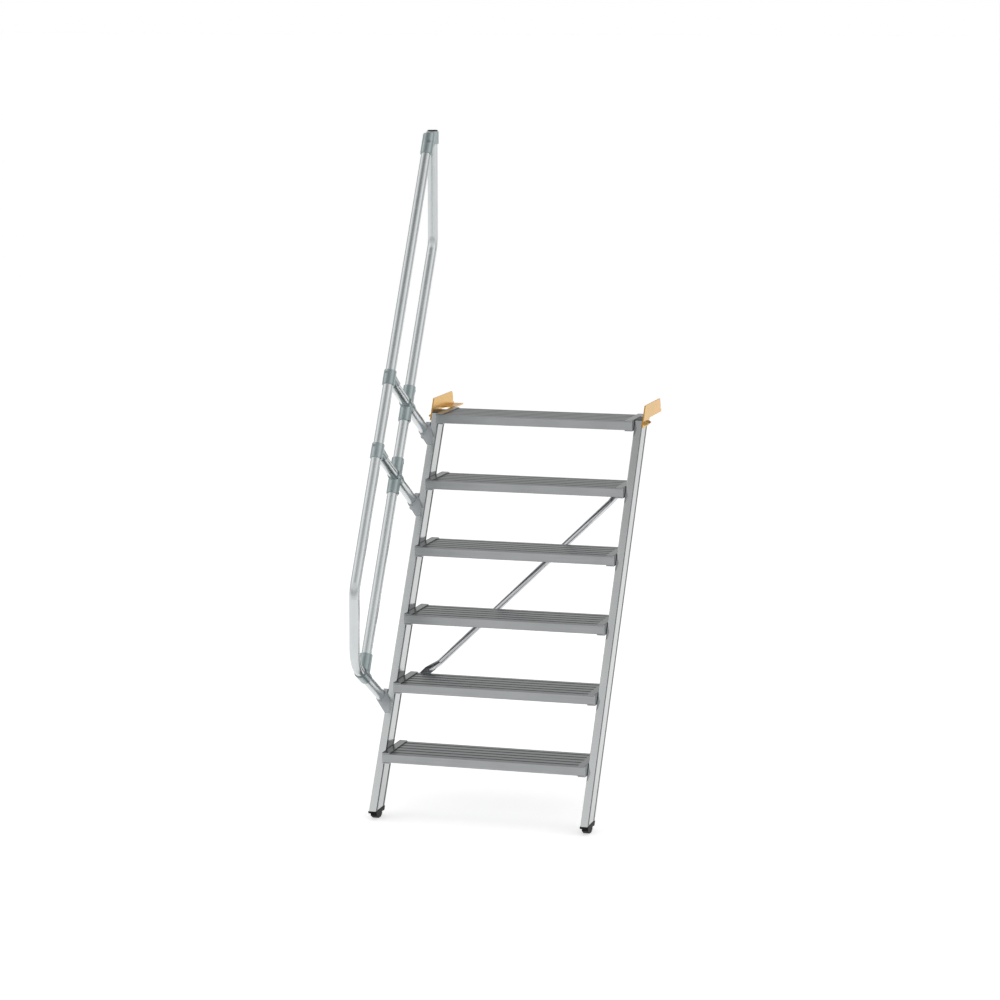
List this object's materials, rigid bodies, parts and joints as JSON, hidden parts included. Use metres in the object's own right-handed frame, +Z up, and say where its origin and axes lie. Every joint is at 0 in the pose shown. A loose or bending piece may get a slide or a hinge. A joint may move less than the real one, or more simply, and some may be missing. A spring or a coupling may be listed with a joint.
{
  "type": "industrial stair",
  "caption": "Steep open industrial stair with ribbed metal treads between two stringers, hooks that hang on a platform edge, and a bent tube handrail with knee rail on one side.",
  "frame": {"origin": "middle of the flat seat under the left hook, on the surface of the platform that the stair hangs on", "axes": "+Z up, +Y up the climb towards the platform, +X across the stair to the climber's right"},
  "size_m": [0.9308, 1.2125, 2.5721],
  "materials": {
    "stringer_metal": "extruded, anodised, satin",
    "tread_metal": "extruded, ribbed top",
    "console_metal": "cast or extruded end console, smooth",
    "tube_metal": "drawn tube, satin",
    "brace_metal": "tube with flattened ends",
    "cast_fitting": "cast, fine grain",
    "bracket_metal": "cast bracket",
    "passivated_steel": "steel plate, yellow passivated zinc",
    "bolt_steel": "yellow passivated hexagon nuts and bolt ends",
    "black_plastic": "black plug",
    "black_rubber": "black ribbed foot"
  },
  "bodies": {
    "root": {"diagonal_brace": "brace_metal", "foot_left": "black_rubber", "foot_right": "black_rubber", "handrail": "tube_metal", "hook_bolts_left": "bolt_steel", "hook_bolts_right": "bolt_steel", "hook_left": "passivated_steel", "hook_right": "passivated_steel", "knee_rail": "tube_metal", "rail_bracket_foot": "bracket_metal", "rail_bracket_lower": "bracket_metal", "rail_bracket_upper": "bracket_metal", "rail_cap": "black_plastic", "rail_cross_lower": "cast_fitting", "rail_cross_upper": "cast_fitting", "rail_support_lower_inner": "tube_metal", "rail_support_lower_outer": "tube_metal", "rail_support_upper_inner": "tube_metal", "rail_support_upper_outer": "tube_metal", "rail_tee_foot": "cast_fitting", "rail_tee_lower": "cast_fitting", "rail_tee_upper": "cast_fitting", "rail_top_fitting": "cast_fitting", "stringer_left": "stringer_metal", "stringer_plug_left": "black_plastic", "stringer_plug_right": "black_plastic", "stringer_right": "stringer_metal", "tread_1": "tread_metal", "tread_2": "tread_metal", "tread_3": "tread_metal", "tread_4": "tread_metal", "tread_5": "tread_metal", "tread_6": "tread_metal", "tread_console_left_1": "console_metal", "tread_console_left_2": "console_metal", "tread_console_left_3": "console_metal", "tread_console_left_4": "console_metal", "tread_console_left_5": "console_metal", "tread_console_left_6": "console_metal", "tread_console_right_1": "console_metal", "tread_console_right_2": "console_metal", "tread_console_right_3": "console_metal", "tread_console_right_4": "console_metal", "tread_console_right_5": "console_metal", "tread_console_right_6": "console_metal"}
  },
  "joints": []
}
